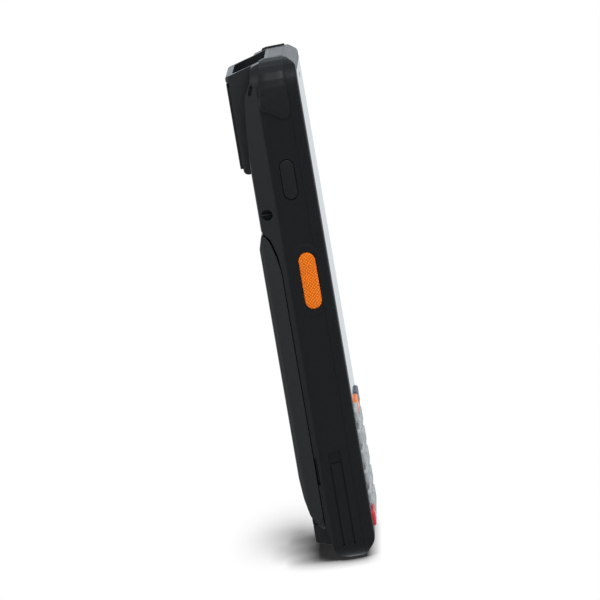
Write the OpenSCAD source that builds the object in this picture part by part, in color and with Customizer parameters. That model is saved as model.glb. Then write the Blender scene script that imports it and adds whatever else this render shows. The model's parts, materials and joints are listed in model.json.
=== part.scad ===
// Portable barcode data terminal: a rugged hand-held computer with a touch screen above a keypad,
// a scan head at the top of its back, a removable battery and an orange scan trigger on each side.
// X runs across the terminal, the screen faces -Y and +Z points to the top end.
// The origin is the centre of the base. All sizes are in millimetres.

/* [Body] */
// Width of the case across its flat sides
body_w = 70; // [68:0.5:76]
// Height of the case, without the corner bumpers
body_h = 166.3; // [165:0.1:177]
// Depth of the case from the bezel's face to its flat back
body_depth = 20.2; // [19.8:0.1:22]
// Depth of the front half of the case, from the bezel's face to the seam
front_shell_depth = 3.9; // [3.6:0.1:4.4]
// Depth of the slanted band behind each side, from the ridge to the flat back
chamfer_depth = 6.9; // [6:0.1:7.4]
// Width across X of the slanted band behind each side
chamfer_run = 5; // [4:0.1:6]
// Depth from the line where the battery meets the case to the flat back
parting_in = 4.7; // [4.3:0.1:5]
// Radius of the long edges between the bezel and the sides
front_edge_r = 1.6; // [1.6:0.1:3]
// Radius of the ridge between each side and its slanted band
ridge_r = 3; // [1:0.5:5]
// Radius of the edge between each slanted band and the back
rear_edge_r = 2.5; // [1:0.5:4]
// Radius of the two bottom corners, seen from the front
bottom_corner_r = 7; // [4:0.5:10]
// Radius of the two top corners, seen from the front
top_corner_r = 11.5; // [8:0.5:12.5]

/* [Top and base] */
// How far the flat base starts behind the bezel's face
base_set_back = 4.2; // [3.6:0.1:4.8]
// Depth from there to the bend where the base starts to rise towards the heel
base_depth = 4.7; // [4:0.1:5.2]
// Radius of that bend
base_r = 8; // [5:0.5:9]
// Height at which the slanted toe meets the bezel's face
toe_h = 5.2; // [4.8:0.1:6]
// How far the heel's corner sits in front of the battery's line
heel_in = 2; // [1.6:0.1:2.4]
// Height of the heel's corner
heel_h = 1.7; // [1.2:0.1:2.4]
// Height at which the heel's slope meets the straight back
tail_h = 11.5; // [11.2:0.1:13]
// How far below the top the flat back starts to curve in
back_curve_drop = 37; // [35:0.5:39]
// How far below the top the back's curve grows steeper
back_slope_drop = 23; // [21:0.5:25]
// How far the front of the top end slopes down to the bezel's face
crown_drop = 2.6; // [2.2:0.1:3.6]
// How far that slope runs back from the bezel's face
crown_run = 3; // [2.4:0.1:3.6]

/* [Walls] */
// Wall of both halves of the case
wall = 2; // [1.9:0.1:2.3]
// Thickness of the bezel's face
face_wall = 2.2; // [2.1:0.1:2.6]
// Wall round the battery bay
bay_wall = 1.2; // [1:0.1:1.4]
// Wall of the scan head
head_wall = 1.5; // [1.4:0.1:1.8]
// Wall of the battery case
battery_wall = 1.2; // [1:0.1:1.6]
// Width of the seal between the halves of the case
seal_w = 0.8; // [0.6:0.1:1]
// Depth of the seal between the halves of the case
seal_t = 0.9; // [0.7:0.1:1.2]

/* [Bumpers] */
// How far the corner bumpers stand out of the case
bumper_proud = 0.5; // [0.4:0.1:1.2]
// How deep the corner bumpers sit in the case
bumper_seat = 1; // [0.8:0.1:1.2]
// Height of a bumper on the side, measured down from the top
bumper_h = 20; // [18:0.2:23]
// Length of a bumper across the top, measured in from the side
bumper_wrap = 11.5; // [10:0.5:12.5]
// How far a bumper reaches behind the ridge at its lower end
bumper_back = 0.6; // [0.3:0.1:1.2]
// How far a bumper's rear edge leans forward up to the top
bumper_lean = 2.7; // [2:0.1:3.2]

/* [Screen] */
// Space between the glass and each side of the case
glass_side = 3.5; // [3.3:0.1:4.4]
// Space between the top row of keys and the glass
glass_key_space = 1; // [0.9:0.05:1.6]
// Space between the glass and the top of the case
glass_top_margin = 5.3; // [5:0.1:7]
// Thickness of the touch glass
glass_t = 1.3; // [1.1:0.1:1.5]
// How far the glass stands out of the bezel
glass_proud = 0.1; // [0:0.05:0.2]
// Radius of the glass's corners
glass_corner_r = 4; // [2:0.5:5]
// Width of the ledge that the glass rests on
glass_ledge = 1.9; // [1.4:0.1:2.4]
// Space between the display panel and the top edge of the glass
display_top_margin = 10.4; // [9.4:0.1:13]
// Thickness of the display panel
display_t = 3.4; // [3:0.1:3.6]
// Length of the earpiece slot
earpiece_l = 12; // [8:0.5:14]
// Height of the earpiece slot
earpiece_h = 1.4; // [1:0.1:2]
// Height of the small speaker behind the earpiece slot
earpiece_speaker_h = 3.2; // [2.8:0.1:4]
// How deep the earpiece's mesh lies in its slot
mesh_set_back = 0.05; // [0.05:0.05:0.5]
// Thickness of the earpiece's mesh
mesh_t = 0.4; // [0.3:0.05:0.6]
// Space between the earpiece slot and the glass's top edge
earpiece_drop = 3.6; // [3:0.1:4.4]

/* [Keypad] */
// Space between the outer keys and each side of the case
key_side = 4.4; // [4.2:0.1:6]
// Space between neighbouring keys of a row
key_column_space = 2; // [1.4:0.1:3]
// Space between neighbouring rows of keys
key_row_space = 1.6; // [1.3:0.05:1.6]
// Height of a key
key_h = 5.2; // [4.8:0.1:5.6]
// Height of the lower edge of the lowest row
keypad_bottom = 9; // [8.6:0.1:9.6]
// How far the keys stand out of the bezel
key_proud = 1; // [0.6:0.05:1.2]
// Radius of a key's corners
key_corner_r = 1.3; // [0.5:0.1:2]
// Height of the key rim's small step
key_step = 0.3; // [0.2:0.05:0.4]
// Thickness of the flange that keeps a key in
key_flange_t = 0.6; // [0.5:0.05:0.7]
// How far that flange reaches past the key's hole
key_flange_lip = 0.25; // [0.2:0.05:0.3]
// Travel of a key
key_travel = 0.35; // [0.25:0.05:0.4]
// Length of the stem behind a key's flange
key_stem_l = 0.35; // [0.3:0.05:0.5]
// Radius of that stem
key_stem_r = 1.5; // [1:0.1:2]
// Radius of a key's metal dome
dome_r = 2; // [1.8:0.1:2.4]
// Height of a key's metal dome
dome_h = 0.35; // [0.3:0.05:0.4]
// Thickness of the keypad's board
keypad_board_t = 0.65; // [0.5:0.05:0.8]
// Thickness of the keypad's mat
mat_t = 0.75; // [0.6:0.05:0.9]

/* [Side controls] */
// Length of an orange scan trigger
trigger_l = 18.6; // [16:0.2:20]
// Width of an orange scan trigger
trigger_w = 5.5; // [5:0.1:6]
// How far the middle of a trigger is below the top
trigger_drop = 73.2; // [70:0.1:77]
// Depth from the bezel's face to the middle of a trigger
trigger_depth = 6.9; // [6.6:0.1:7.2]
// How far a trigger stands out of its raised pad
trigger_proud = 0.7; // [0.6:0.1:1.2]
// Length of the raised pad round a trigger
pad_l = 25; // [24:0.5:30]
// How far the pad's edge slopes in towards its face
pad_slope = 1.2; // [0.6:0.1:1.3]
// Width of the raised pad round a trigger
pad_w = 8.6; // [8:0.1:8.8]
// How far that pad stands out of the side
pad_proud = 0.4; // [0.2:0.1:0.6]
// Small step round a trigger's face
trigger_crown = 0.25; // [0.15:0.05:0.35]
// Travel of a trigger
trigger_travel = 0.5; // [0.3:0.05:0.55]
// Length of a black side button
button_l = 13; // [11:0.2:15]
// Width of a black side button
button_w = 4.5; // [4:0.1:5]
// How far the middle of a side button is below the top
button_drop = 39.4; // [37:0.1:42]
// Depth from the bezel's face to the middle of a side button
button_depth = 8.2; // [7.8:0.1:8.4]
// How far a side button stands out of the side
button_proud = 0.5; // [0.45:0.05:0.8]
// Small step round a side button's face
button_crown = 0.2; // [0.15:0.05:0.3]
// Travel of a side button
button_travel = 0.35; // [0.2:0.05:0.4]
// Thickness of the flange that keeps a trigger or button in
side_flange_t = 0.6; // [0.5:0.05:0.7]
// How far that flange reaches past the hole of the trigger or button
side_flange_lip = 0.5; // [0.35:0.05:0.6]
// Thickness of a side switch board
side_board_t = 0.6; // [0.5:0.05:0.7]
// Space between the midframe and the side wall, for the side switches
switch_space = 3; // [2.8:0.1:3.4]

/* [Side details] */
// Depth of the cradle grooves and of the pocket above them
groove_depth = 0.9; // [0.5:0.05:0.9]
// Width of a cradle groove
groove_w = 0.45; // [0.3:0.05:0.7]
// Depth from the bezel's face to the front groove
groove_front_depth = 6.9; // [6.6:0.1:7.2]
// Distance between the two grooves
groove_gap = 3.6; // [3.4:0.1:4]
// Height at which the grooves start
groove_bottom = 5; // [3:0.5:6]
// Height of the lower edge of the pocket above the grooves
pocket_bottom = 32.2; // [30:0.1:33.5]
// Height of the pocket at its front edge
pocket_h = 4.3; // [3.9:0.1:4.8]
// How much lower the pocket's rear edge is
pocket_slant = 1.2; // [0.8:0.1:1.6]
// Height of the lower end of the finger slit beside the battery
slit_bottom = 25.8; // [25:0.1:27]
// Length of the finger slit beside the battery
slit_l = 9; // [7:0.5:12]
// Width of the finger slit beside the battery
slit_w = 0.7; // [0.5:0.1:1]
// Radius of the round strap recess
strap_r = 1.8; // [1.6:0.1:2]
// How far the strap recess is below the top
strap_drop = 50; // [49:0.1:51]
// How far the middle of the strap recess is in front of the flat back
strap_in = 3; // [2.8:0.1:3.2]
// How deep the strap recess goes in from its mouth
strap_recess_l = 2.6; // [2.2:0.1:3]
// Radius of the bar across the strap recess
strap_bar_r = 0.45; // [0.35:0.05:0.5]
// Length of the lanyard slot
lanyard_l = 3.6; // [3:0.1:3.8]
// Width of the lanyard slot
lanyard_w = 1.1; // [0.8:0.1:1.2]
// How far the lanyard slot leans towards the front
lanyard_lean = 20; // [14:1:24]
// How far the middle of the lanyard slot is in front of the flat back
lanyard_in = 4.4; // [4.3:0.1:4.9]
// How far the lanyard slot is below the top
lanyard_drop = 8.9; // [8.7:0.1:9.4]

/* [Battery] */
// How far the battery stands out behind the flat back
battery_proud = 1.6; // [1.2:0.1:2.4]
// Height of the battery's lowest point
battery_bottom = 10.6; // [10.4:0.1:11.6]
// Height of the curve that the top of the battery's edge follows
battery_nose_h = 13; // [12.5:0.5:15]
// Height of the slope at the battery's lower end
battery_slope_h = 18; // [16:0.5:20]
// Height of the lip by which the lock holds the battery
battery_lip_h = 5.3; // [5:0.1:6]
// Space between the battery and the scan head
battery_head_space = 19; // [18.6:0.1:21]
// Space between the bay and each side of the case
bay_side = 6.5; // [6.3:0.1:8]
// How far the bay starts above the battery's lowest point
bay_lift = 8.8; // [8.4:0.1:10]
// How far the bay ends below the battery's highest point
bay_top_drop = 15.5; // [15:0.5:20]
// Space between the bay's lower end and the middle of its contacts
bay_contact_lift = 4; // [3:0.1:5]
// Width of the battery's contact pads
terminal_w = 2.8; // [2.2:0.1:3.2]
// Thickness of the battery's contact pads
terminal_t = 0.4; // [0.3:0.05:0.5]
// Radius of a spring contact in the bay
bay_contact_r = 0.8; // [0.6:0.1:1]
// Space between the middle of those contacts and the battery's cell
contact_cell_space = 2.3; // [2:0.1:4]
// Distance between the contacts in the bay
bay_contact_pitch = 5; // [4:0.5:6]

/* [Battery lock] */
// Width of the block that holds the lock's slider
lock_block_w = 32; // [28:0.5:36]
// How far the block stands behind the battery's line
lock_block_depth = 4.6; // [4.3:0.1:4.8]
// Height of the block's underside at the heel
lock_block_bottom = 2.4; // [2.1:0.1:2.8]
// How much higher the underside's rear edge is
lock_block_rise = 2; // [1.5:0.1:2.4]
// Width of the slider's thumb pad
slider_w = 12; // [10:0.5:14]
// How far the slider's guides reach past the thumb pad
slider_wing = 0.8; // [0.6:0.1:1]
// Thickness of the slider
slider_t = 1.8; // [1.4:0.1:2]
// Space between the slider's upper end at rest and the top of the block
slider_drop = 0.3; // [0.2:0.05:0.5]
// Length of the slider
slider_l = 4.7; // [4.4:0.1:4.9]
// Travel of the slider
slider_travel = 3; // [2.6:0.1:3.2]

/* [Scan head] */
// Space between the scan head and each side of the case
head_side = 13.5; // [12.5:0.5:14]
// How far the scan head stands out behind the flat back
hump_proud = 3.5; // [3.2:0.1:4.5]
// Height of the scan head, measured down from the top
head_h = 36.9; // [35.5:0.1:38.5]
// Depth from the bezel's face to the front of the scan head, where the flat top ends
head_set_back = 8.6; // [8.4:0.1:9]
// Radius of the two upright edges at the back of the scan head
head_edge_r = 2; // [0.5:0.5:2]
// How far the rear of the scan head's rim is below the top
rim_drop = 4; // [3.6:0.1:4.6]
// Thickness of the cover on the back of the scan head
cover_t = 0.95; // [0.7:0.05:1.1]
// Height of the lip above the cover
lip_h = 2.2; // [1.8:0.1:3]
// Space between the cover and the edges of the scan head
cover_margin = 1.8; // [1.6:0.1:2.4]
// Radius of the recess's two rear corners, seen from the top
recess_r = 4; // [2:0.5:5]
// Thickness of the scan window
window_t = 1.2; // [1:0.1:1.6]
// How far the front edge of the scan window is below the rim
window_drop = 8; // [7:0.1:9]
// Tilt of the scan window
window_tilt = 22; // [18:1:26]
// Width of the ledges that carry the scan window
window_ledge = 1.2; // [1:0.1:1.5]
// Width of the scan engine
engine_w = 22; // [18:0.5:24]
// Height of the scan engine
engine_h = 8.4; // [7:0.2:8.6]
// Height of the engine's bracket above the scan head's floor
bracket_z = 8.4; // [8.2:0.1:9]
// Thickness of that bracket
bracket_t = 1; // [0.8:0.1:1.2]
// Radius of the camera's window
camera_r = 3.3; // [2.8:0.1:3.5]

/* [Boards] */
// Thickness of the metal midframe
midframe_t = 0.8; // [0.6:0.1:1]
// Width of the midframe's windows for flat cables
cable_w = 16; // [10:0.5:20]
// Height of those windows
cable_h = 3; // [2:0.1:4]
// Space between the keypad and the window for its cable
keypad_cable_space = 4; // [3:0.5:6]
// Distance from the glass's top edge down to the window for the display's cable
display_cable_drop = 18; // [16:0.5:22]
// Thickness of the main board
board_t = 1; // [0.8:0.1:1.1]
// Space between the midframe and the main board
board_lift = 0.8; // [0.7:0.05:0.9]
// Space between the main board and each side of the case
board_side = 7; // [6:0.5:9]
// Space between the board's lower tongue and each side of the case
tongue_side = 16; // [14.5:0.5:17]
// Height of the shield cans on the main board
can_t = 1.2; // [1:0.05:1.3]
// Space between a shield can and the edges of the main board or the bay
can_margin = 8; // [6.5:0.5:10]
// Space between the two shield cans
can_space = 6; // [3:0.5:10]
// Width of the USB-C socket
usb_w = 9; // [8.9:0.05:9.1]
// Height of the USB-C socket's shell
usb_t = 3.2; // [3.1:0.05:3.3]
// Height of the USB-C socket's mouth above the base
usb_recess = 0.8; // [0.7:0.1:1.2]
// Length of the USB-C socket
usb_l = 7.4; // [6.8:0.1:8]
// Thickness of the socket's shell
usb_shell_t = 0.3; // [0.25:0.05:0.35]
// Width of the socket's tongue
usb_tongue_w = 6.6; // [6.4:0.1:6.8]
// Thickness of the socket's tongue
usb_tongue_t = 0.7; // [0.6:0.05:0.75]
// Radius of a dock contact
dock_contact_r = 1.1; // [0.8:0.1:1.3]
// Distance between neighbouring dock contacts
dock_contact_pitch = 4; // [3.4:0.1:4.4]
// Distance from the middle to the first dock contact on each side
dock_contact_start = 10; // [8:0.1:11]
// Width of the loudspeaker
speaker_w = 18; // [14:0.5:20]
// Height of the loudspeaker
speaker_h = 10.8; // [8:0.2:12]
// Length of a loudspeaker slot
speaker_slot_l = 7; // [5:0.5:8]
// Width of a loudspeaker slot
speaker_slot_w = 1.2; // [0.8:0.1:1.4]
// Distance between the loudspeaker slots
speaker_slot_pitch = 2.6; // [2.2:0.1:3]
// Radius of the vibration motor
motor_r = 2; // [1.5:0.1:2.4]
// Length of the vibration motor
motor_l = 8; // [6:0.5:9]

/* [Fasteners] */
// Radius of a housing screw's shank
screw_r = 1; // [0.8:0.05:1.1]
// Radius of a housing screw's head
screw_head_r = 1.8; // [1.6:0.1:2]
// Height of a housing screw's head
screw_head_h = 1.2; // [1:0.1:1.3]
// Radius of a threaded insert
insert_r = 1.8; // [1.6:0.1:2]
// Length of a threaded insert
insert_l = 2.4; // [2:0.1:2.6]
// Wall of a screw boss
boss_wall = 0.8; // [0.7:0.1:1]
// Space between a housing screw's axis and the side of the case
screw_side = 9.5; // [9:0.1:10]
// How far the upper housing screws are below the scan head
screw_drop = 8.15; // [7.4:0.05:9]
// Radius of a cover screw's shank
cover_screw_r = 0.8; // [0.6:0.05:0.9]
// Radius of a cover screw's head
cover_screw_head_r = 1.6; // [1.4:0.1:1.8]

/* [Clearances] */
// Clearance between pieces that rest on each other
seat_gap = 0.05; // [0.03:0.01:0.1]
// Clearance round a key, trigger or button in its hole
key_gap = 0.2; // [0.15:0.01:0.25]
// Clearance between a key's flange and the keypad's mat
mat_gap = 0.1; // [0.08:0.01:0.14]
// Clearance round the battery
battery_gap = 0.3; // [0.25:0.01:0.4]
// Clearance between a pressed key or trigger and its switch
press_gap = 0.12; // [0.1:0.01:0.15]

/* [Hidden] */

// Finish of the round holes and pins
$fn = 48;
// Straight steps in each rounded corner of an outline
arc_steps = 7;
// Length by which a cut runs past the surface that it opens
over = 1;
// Half of a span larger than the terminal, for cutting it in two
far = 200;

case_black = [0.14, 0.15, 0.155];
rubber_black = [0.11, 0.115, 0.12];
metal_grey = [0.62, 0.63, 0.65];
board_green = [0.08, 0.3, 0.2];
gold = [0.83, 0.66, 0.3];
key_grey = [0.82, 0.83, 0.83];
key_navy = [0.1, 0.12, 0.2];
signal_orange = [0.93, 0.42, 0.08];
signal_red = [0.75, 0.14, 0.16];
glass_dark = [0.06, 0.07, 0.08];

// Depths, from front to back
front_y = key_proud - (key_proud + body_depth + hump_proud) / 2;
rear_y = front_y + body_depth;
seam_y = front_y + front_shell_depth;
ridge_y = rear_y - chamfer_depth;
parting_y = rear_y - parting_in;
battery_rear_y = rear_y + battery_proud;
head_rear_y = rear_y + hump_proud;
side_x = body_w / 2;

glass_front_y = front_y - glass_proud;
glass_back_y = glass_front_y + glass_t;
display_front_y = glass_back_y + seat_gap;
display_back_y = display_front_y + display_t;
face_back_y = front_y + face_wall;

key_front_y = front_y - key_proud;
flange_front_y = face_back_y + seat_gap;
flange_back_y = flange_front_y + key_flange_t;
stem_back_y = flange_back_y + key_stem_l;
dome_front_y = stem_back_y + key_travel + press_gap;
keypad_board_front_y = dome_front_y + dome_h;
keypad_board_back_y = keypad_board_front_y + keypad_board_t;

midframe_front_y = max(display_back_y, keypad_board_back_y) + seat_gap;
midframe_back_y = midframe_front_y + midframe_t;
board_front_y = midframe_back_y + board_lift;
board_back_y = board_front_y + board_t;
bay_outer_y = board_back_y + can_t + seat_gap;
bay_floor_y = bay_outer_y + bay_wall;

// Keypad grid: column 0 is in the middle and row 0 is at the bottom
key_rows = 6;
top_row = key_rows - 1;
key_w = (body_w - 2 * key_side - 2 * key_column_space) / 3;
key_pitch_x = key_w + key_column_space;
key_pitch_z = key_h + key_row_space;
key_row_0 = keypad_bottom + key_h / 2;
keypad_top = keypad_bottom + top_row * key_pitch_z + key_h;

// Heights of the screen and its surroundings
glass_w = body_w - 2 * glass_side;
glass_bottom = keypad_top + glass_key_space;
glass_top = body_h - glass_top_margin;
opening_w = glass_w - 2 * glass_ledge;
display_bottom = glass_bottom + glass_ledge + key_gap;
display_top = glass_top - display_top_margin;
earpiece_z = glass_top - earpiece_drop;
earpiece_speaker_top = glass_top - glass_ledge - 2 * seat_gap;

// Scan head
head_w = body_w - 2 * head_side;
head_bottom = body_h - head_h;
head_front_y = front_y + head_set_back;
head_side_x = head_w / 2;
head_inner_front = head_front_y + head_wall;
head_inner_rear = head_rear_y - cover_t - head_wall;
head_inner_x = head_side_x - head_wall;
rim_rear_z = body_h - rim_drop;
cover_top = rim_rear_z - lip_h;
window_front_z = body_h - window_drop - 1;
camera_z = head_bottom + head_wall + bracket_z / 2;

// Bends of the top end behind its flat part, shared by the case and the scan head
top_bends = [
    [rear_y - 5.4, body_h - 1.8, 1.5],
    [front_y + 10, body_h - 0.3, 3]];

// Battery and its bay
bay_w = body_w - 2 * bay_side;
battery_top = head_bottom - battery_head_space;
bay_bottom = battery_bottom + bay_lift;
bay_top = battery_top - bay_top_drop;
bay_contact_z = bay_bottom + bay_contact_lift;

// Screws of the case: a pair between the scan head and the battery, and a pair under the battery
screw_x = side_x - screw_side;
screw_upper_z = head_bottom - screw_drop;
screw_lower_z = (battery_bottom + bay_bottom - bay_wall) / 2;
insert_back_y = midframe_back_y + seat_gap + insert_l;
boss_r = screw_head_r + boss_wall;

// Side switches and the pieces that press them
inner_x = side_x - wall;
side_flange_x = inner_x - seat_gap - side_flange_t;
switch_x = side_flange_x - max(trigger_travel, button_travel) - press_gap;
trigger_y = front_y + trigger_depth;
trigger_z = body_h - trigger_drop;
button_y = front_y + button_depth;
button_z = body_h - button_drop;
strap_y = rear_y - strap_in;
strap_z = body_h - strap_drop;
lanyard_y = rear_y - lanyard_in;
lanyard_z = body_h - lanyard_drop;
midframe_x = inner_x - switch_space;
board_w = body_w - 2 * board_side;
tongue_w = body_w - 2 * tongue_side;

// ---------------------------------------------------------------- helpers

function unit(v) = v / norm(v);
function flat(corner) = [corner[0], corner[1]];
function circle_point(angle) = [cos(angle), sin(angle)];

// Points of one rounded corner between its two neighbours
function corner_arc(before, here, after, r) =
    let (a = unit(before - here), b = unit(after - here))
    let (half = acos(max(-1, min(1, a * b))) / 2)
    let (middle = here + unit(a + b) * r / sin(half))
    let (start = here + a * r / tan(half) - middle)
    let (finish = here + b * r / tan(half) - middle)
    let (from = atan2(start[1], start[0]))
    let (turn = atan2(start[0] * finish[1] - start[1] * finish[0], start * finish))
    [for (i = [0:arc_steps]) middle + r * circle_point(from + turn * i / arc_steps)];

// Points of an outline whose corners are [across, up, radius]
function rounded(corners) =
    let (n = len(corners))
    [for (i = [0:n - 1])
        let (before = flat(corners[(i + n - 1) % n]))
        let (here = flat(corners[i]))
        let (after = flat(corners[(i + 1) % n]))
        each corners[i][2] > 0.01 ? corner_arc(before, here, after, corners[i][2]) : [here]];

// The same corners moved inwards by a distance, for an outline that runs anticlockwise
function inset(corners, distance) =
    let (n = len(corners))
    [for (i = [0:n - 1])
        let (before = flat(corners[(i + n - 1) % n]))
        let (here = flat(corners[i]))
        let (after = flat(corners[(i + 1) % n]))
        let (a = unit(here - before), b = unit(after - here))
        let (na = [-a[1], a[0]], nb = [-b[1], b[0]])
        let (moved = here + (na + nb) * distance / (1 + na * nb))
        [moved[0], moved[1], max(corners[i][2] - distance, 0)]];

// Corners of an upright rectangle about a point
function box_corners(x, z, w, h, r) =
    [for (side = [[-1, -1], [1, -1], [1, 1], [-1, 1]]) [x + side[0] * w / 2, z + side[1] * h / 2, r]];

// Half width of the case at a depth in its slanted bands
function band_x(y) = side_x - (y - ridge_y) * chamfer_run / (rear_y - ridge_y);

// An outline drawn in X and Z, pushed from one depth to another
module along_y(from, to) {
    translate([0, to, 0]) rotate([90, 0, 0]) linear_extrude(to - from) children();
}

// An outline drawn in Y and Z, pushed across X
module along_x(from, to) {
    translate([from, 0, 0]) rotate([90, 0, 90]) linear_extrude(to - from) children();
}

// A block between two corners
module block(low, high) {
    translate(low) cube(high - low);
}

// A child and its mirror image on the other side
module both_sides() {
    children();
    mirror([1, 0, 0]) children();
}

// A flat-sided slot with round ends along Z, as a shape in Y and Z
module slot_shape(l, w) {
    square([w, l - w], center = true);
    translate([0, (l - w) / 2]) circle(d = w);
    translate([0, -(l - w) / 2]) circle(d = w);
}

// ---------------------------------------------------------------- outer form

// Side view of the case without its scan head
side_corners = [
    [front_y + base_set_back, 0, 4],
    [front_y + base_set_back + base_depth, 0, base_r],
    [parting_y - heel_in, heel_h, 0.8],
    [parting_y, tail_h, 3],
    [parting_y, battery_top - battery_nose_h, 6],
    [parting_y + 0.6, battery_top - 7.5, 6],
    [parting_y + 2, battery_top - 2.6, 3],
    [rear_y, battery_top + 0.6, 1],
    [rear_y, body_h - back_curve_drop, 20],
    [rear_y - 0.7, body_h - back_slope_drop, 15],
    [rear_y - 2.1, body_h - 11, 4],
    [rear_y - 4.7, body_h - 6.1, 2],
    each top_bends,
    [front_y + crown_run, body_h, 2],
    [front_y, body_h - crown_drop, 2],
    [front_y, toe_h, 6]];

front_corners = [
    [-side_x, 0, bottom_corner_r],
    [side_x, 0, bottom_corner_r],
    [side_x, body_h, top_corner_r],
    [-side_x, body_h, top_corner_r]];

section_corners = [
    [-side_x, front_y, front_edge_r],
    [side_x, front_y, front_edge_r],
    [side_x, ridge_y, ridge_r],
    [side_x - chamfer_run, rear_y, rear_edge_r],
    [-(side_x - chamfer_run), rear_y, rear_edge_r],
    [-side_x, ridge_y, ridge_r]];

// The case's outer form, moved inwards by a distance
module case_form(distance = 0) {
    intersection() {
        along_x(-side_x - over, side_x + over) polygon(rounded(inset(side_corners, distance)));
        along_y(front_y - over, rear_y + over) polygon(rounded(inset(front_corners, distance)));
        translate([0, 0, -over]) linear_extrude(body_h + 2 * over)
            polygon(rounded(inset(section_corners, distance)));
    }
}

// Raised pads round the triggers, with sloping edges
module trigger_pads() {
    straight = (pad_l - pad_w) / 2;
    both_sides() translate([side_x, trigger_y, trigger_z]) {
        translate([0, 0, -straight]) linear_extrude(2 * straight) polygon([
            [-over, -pad_w / 2],
            [0, -pad_w / 2],
            [pad_proud, pad_slope - pad_w / 2],
            [pad_proud, pad_w / 2 - pad_slope],
            [0, pad_w / 2],
            [-over, pad_w / 2]]);
        for (end = [-straight, straight]) translate([0, 0, end]) rotate([0, 90, 0]) {
            cylinder(r1 = pad_w / 2, r2 = pad_w / 2 - pad_slope, h = pad_proud);
            translate([0, 0, -over]) cylinder(r = pad_w / 2, h = over);
        }
    }
}

// Holes that the triggers and buttons move in
module side_holes() {
    both_sides() along_x(inner_x - over, side_x + 2 * over) {
        translate([trigger_y, trigger_z]) slot_shape(trigger_l + 2 * key_gap, trigger_w + 2 * key_gap);
        translate([button_y, button_z]) slot_shape(button_l + 2 * key_gap, button_w + 2 * key_gap);
    }
}

// Groove for the seal, in the rim of the front half
module seal_groove() {
    along_y(seam_y - seal_t - 2 * seat_gap, seam_y + over) difference() {
        polygon(rounded(inset(front_corners, (wall - seal_w) / 2 - seat_gap)));
        polygon(rounded(inset(front_corners, (wall + seal_w) / 2 + seat_gap)));
    }
}

// Everything in front of a depth, or behind it
module before(y) block([-far, y - far, -far], [far, y, far]);
module behind(y) block([-far, y, -far], [far, y + far, far]);

// Where the corner bumpers lie
module bumper_zone(gap = 0) {
    low = body_h - bumper_h - gap;
    both_sides()
        along_x(side_x - bumper_wrap - gap, side_x + 2 * over) polygon(rounded([
            [seam_y + gap, low + 2, 1.5],
            [seam_y + 2, low, 1.5],
            [ridge_y - 0.5, low + 3.9, 1],
            [ridge_y + bumper_back + gap, low + 5.6, 0.6],
            [ridge_y + bumper_back - bumper_lean + gap, body_h + 2 * over, 0],
            [seam_y + gap, body_h + 2 * over, 0]]));
}

// Where the scan head sits in the rear housing
module head_pocket() {
    block([-head_side_x - seat_gap, head_front_y - seat_gap, head_bottom - seat_gap],
        [head_side_x + seat_gap, rear_y + over, body_h + over]);
}

// Grooves that a cradle's rails run in, and the pocket above them
module cradle_cuts() {
    front_groove = front_y + groove_front_depth;
    rear_groove = front_groove + groove_gap;
    both_sides() along_x(side_x - 3, side_x + over) {
        for (y = [front_groove, rear_groove])
            translate([y - groove_w / 2, groove_bottom]) square([groove_w, pocket_bottom - groove_bottom]);
        polygon([
            [front_groove - groove_w / 2, pocket_bottom],
            [rear_groove + groove_w / 2, pocket_bottom],
            [rear_groove + groove_w / 2, pocket_bottom + pocket_h - pocket_slant],
            [rear_groove - 0.8, pocket_bottom + pocket_h - 0.25],
            [front_groove - groove_w / 2, pocket_bottom + pocket_h]]);
    }
}

module at_screws(y) {
    for (x = [-screw_x, screw_x])
        for (z = [screw_upper_z, screw_lower_z])
            translate([x, y, z]) rotate([-90, 0, 0]) children();
}

// Outer surface behind a housing screw: the flat back above, the battery's line below
function screw_face_y(z) = z > battery_top ? rear_y : parting_y;

module screw_bosses() {
    for (x = [-screw_x, screw_x])
        for (z = [screw_upper_z, screw_lower_z])
            translate([x, insert_back_y + seat_gap, z]) rotate([-90, 0, 0])
                cylinder(r = boss_r, h = screw_face_y(z) - wall / 2 - insert_back_y);
}

module screw_holes() {
    for (x = [-screw_x, screw_x])
        for (z = [screw_upper_z, screw_lower_z])
            translate([x, 0, z]) rotate([-90, 0, 0]) {
                translate([0, 0, insert_back_y - over]) cylinder(r = screw_r + seat_gap, h = far / 4);
                translate([0, 0, screw_face_y(z) - screw_head_h - 0.3])
                    cylinder(r = screw_head_r + seat_gap, h = 5);
            }
}

// ---------------------------------------------------------------- case

module strap_cups() {
    mouth_x = band_x(strap_y);
    intersection() {
        case_form(seat_gap);
        both_sides()
            translate([mouth_x - strap_recess_l - 1, strap_y, strap_z]) rotate([0, 90, 0])
                cylinder(r = strap_r + 1.1, h = strap_recess_l + 4);
    }
}

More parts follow.
